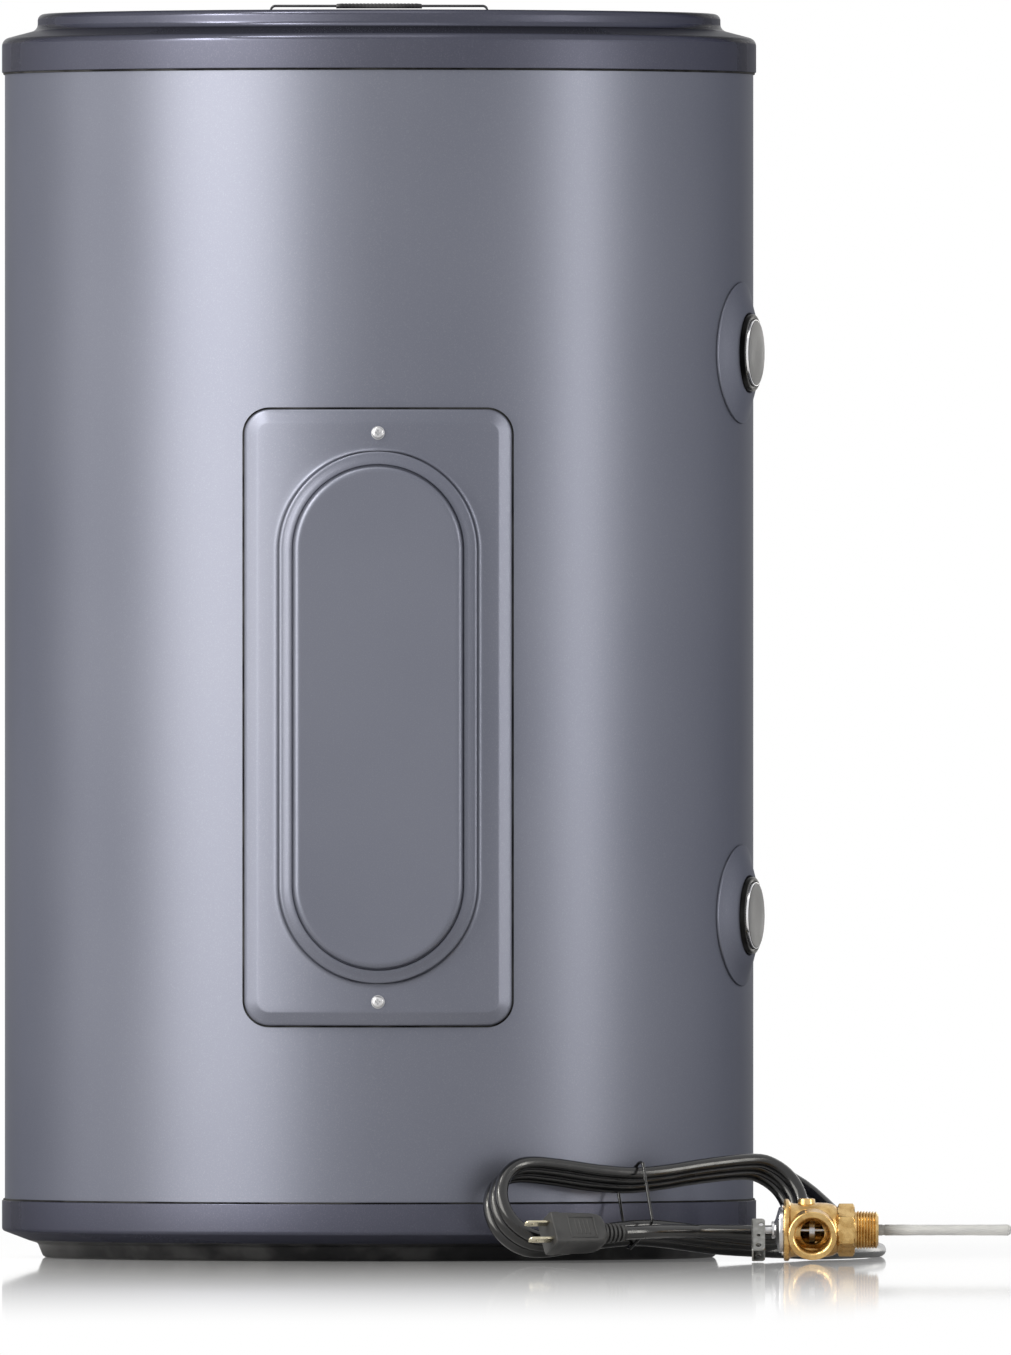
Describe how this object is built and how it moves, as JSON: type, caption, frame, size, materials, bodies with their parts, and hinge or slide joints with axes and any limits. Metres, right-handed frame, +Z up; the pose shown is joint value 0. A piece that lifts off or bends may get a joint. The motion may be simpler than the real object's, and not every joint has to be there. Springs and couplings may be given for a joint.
{
  "type": "tank water heater",
  "caption": "Round electric storage water heater with a lift-up lid handle, front access cover, side water ports, rear drain, tied mains cord and a loose relief valve.",
  "frame": {"origin": "centre of the base's underside, on the tank's axis", "axes": "+Z up along the tank's axis; -Y towards the access cover's face; +X towards the side with the water ports"},
  "size_m": [0.7045, 0.646, 0.8775],
  "materials": {
    "jacket_paint": "satin blue-grey powder coat",
    "slate_paint": "satin slate powder coat",
    "foam": "rigid foam",
    "tank_steel": "enamelled steel",
    "bright_steel": "bright plated steel",
    "strap_steel": "dull plated strip",
    "aluminium_rod": "cast rod",
    "element_sheath": "drawn sheath",
    "black_plastic": "moulded",
    "cap_plastic": "moulded, satin face",
    "white_plastic": "moulded",
    "phenolic": "moulded phenolic",
    "red_plastic": "moulded",
    "brass": "machined casting",
    "black_rubber": "smooth jacket",
    "wire_skin": "insulation"
  },
  "bodies": {
    "heater": {"base_pan": "slate_paint", "base_block": "foam", "jacket": "jacket_paint", "jacket_seam": "jacket_paint", "lid": "slate_paint", "top_pad": "foam", "side_foam": "foam", "tank_shell": "tank_steel", "tank_top_head": "tank_steel", "tank_bottom_head": "tank_steel", "anode_plug": "bright_steel", "anode_rod": "aluminium_rod", "handle_guides": "strap_steel", "access_cover": "jacket_paint", "cover_screws": "bright_steel", "cover_clips": "strap_steel", "cover_pad": "foam", "access_liner": "white_plastic", "hot_socket": "brass", "cold_socket": "brass", "hot_tube": "white_plastic", "cold_tube": "white_plastic", "hot_collar": "jacket_paint", "cold_collar": "jacket_paint", "hot_ring": "black_plastic", "cold_ring": "black_plastic", "hot_cap": "cap_plastic", "cold_cap": "cap_plastic", "relief_socket": "brass", "rear_collars": "jacket_paint", "drain_body": "brass", "element_socket": "tank_steel", "element_gasket": "black_rubber", "element_plug": "bright_steel", "element_loop": "element_sheath", "control_bracket": "bright_steel", "thermostat_body": "phenolic", "limit_body": "phenolic", "terminal_screws": "bright_steel", "control_wires": "wire_skin", "supply_wires": "wire_skin", "cord_gland": "black_plastic", "cord_run": "black_rubber", "cord_hank": "black_rubber", "cord_tail": "black_rubber", "cord_tie": "black_rubber", "plug_body": "black_plastic", "plug_blades": "bright_steel", "relief_body": "brass", "relief_bonnet": "bright_steel"},
    "handle": {"handle_bar": "strap_steel", "handle_grip": "black_plastic", "handle_stops": "strap_steel"},
    "dial": {"thermostat_dial": "white_plastic"},
    "button": {"reset_button": "red_plastic"},
    "drain_handle": {"drain_ball": "bright_steel", "drain_lever": "red_plastic"},
    "valve_stem": {"relief_stem": "bright_steel", "relief_probe": "white_plastic"},
    "valve_lever": {"relief_lever": "bright_steel"}
  },
  "joints": [
    {"name": "handle_lift", "type": "slide", "parent": "heater", "child": "handle", "axis": [0, 0, 1], "range_m": [0, 0.035]},
    {"name": "thermostat_turn", "type": "hinge", "parent": "heater", "child": "dial", "pos_m": [0, -0.2442, 0.385], "axis": [0, -1, 0], "range_deg": [0, 270]},
    {"name": "reset_press", "type": "slide", "parent": "heater", "child": "button", "axis": [0, 1, 0], "range_m": [0, 0.002], "stiffness_N_per_m": 400, "springref_m": -0.001},
    {"name": "drain_turn", "type": "hinge", "parent": "heater", "child": "drain_handle", "pos_m": [0, 0.282, 0.088], "axis": [0, 0, 1], "range_deg": [0, 90]},
    {"name": "relief_stem_lift", "type": "slide", "parent": "heater", "child": "valve_stem", "axis": [-1, 0, 0], "range_m": [0, 0.0034], "stiffness_N_per_m": 150, "springref_m": -0.002},
    {"name": "relief_lever_lift", "type": "hinge", "parent": "valve_stem", "child": "valve_lever", "pos_m": [0.266, -0.252, 0.022], "axis": [0, 0.6691, -0.7431], "range_deg": [0, 62]}
  ],
  "couplings": [
    {"joint": "relief_lever_lift", "follows": "relief_stem_lift", "rad_per_m": 306}
  ]
}
